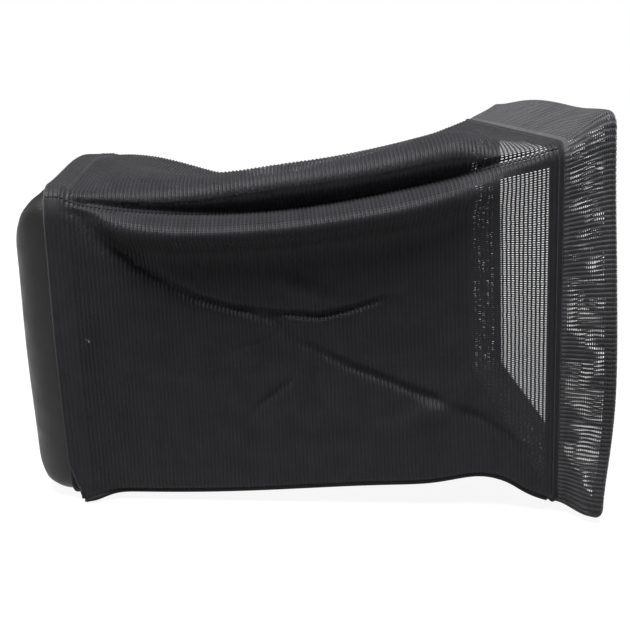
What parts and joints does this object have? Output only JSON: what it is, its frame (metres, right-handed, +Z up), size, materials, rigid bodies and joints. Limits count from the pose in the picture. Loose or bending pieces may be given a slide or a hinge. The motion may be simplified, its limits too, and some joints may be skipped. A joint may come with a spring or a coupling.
{
  "type": "mower grass collection bag",
  "caption": "Fabric collection bag with a moulded end tray, see-through ribbed mesh walls, dense dust walls and a doubled collar folded over a bent tube frame at its open mouth.",
  "frame": {"origin": "on the floor below the middle of the bounding box, with the bag lying on its side", "axes": "+X from the tray to the mouth, +Y away from the near mesh wall, +Z up"},
  "size_m": [0.6142, 0.4856, 0.4062],
  "materials": {
    "tray_plastic": "fine moulded grain",
    "ribbed_mesh": "ribbed warp-knit mesh",
    "dust_cloth": "dense matt cloth",
    "binding": "rolled and stitched cloth",
    "frame_steel": "black coated tube"
  },
  "bodies": {
    "root": {"base_tray": "tray_plastic", "hem_band": "binding", "near_mesh_panel": "ribbed_mesh", "top_mesh_panel": "ribbed_mesh", "far_dust_panel": "dust_cloth", "bottom_dust_panel": "dust_cloth", "seam_near_bottom": "binding", "seam_near_top": "binding", "seam_far_top": "binding", "seam_far_bottom": "binding", "collar_seam": "binding", "collar_sleeve": "ribbed_mesh", "mouth_frame": "frame_steel"}
  },
  "joints": []
}
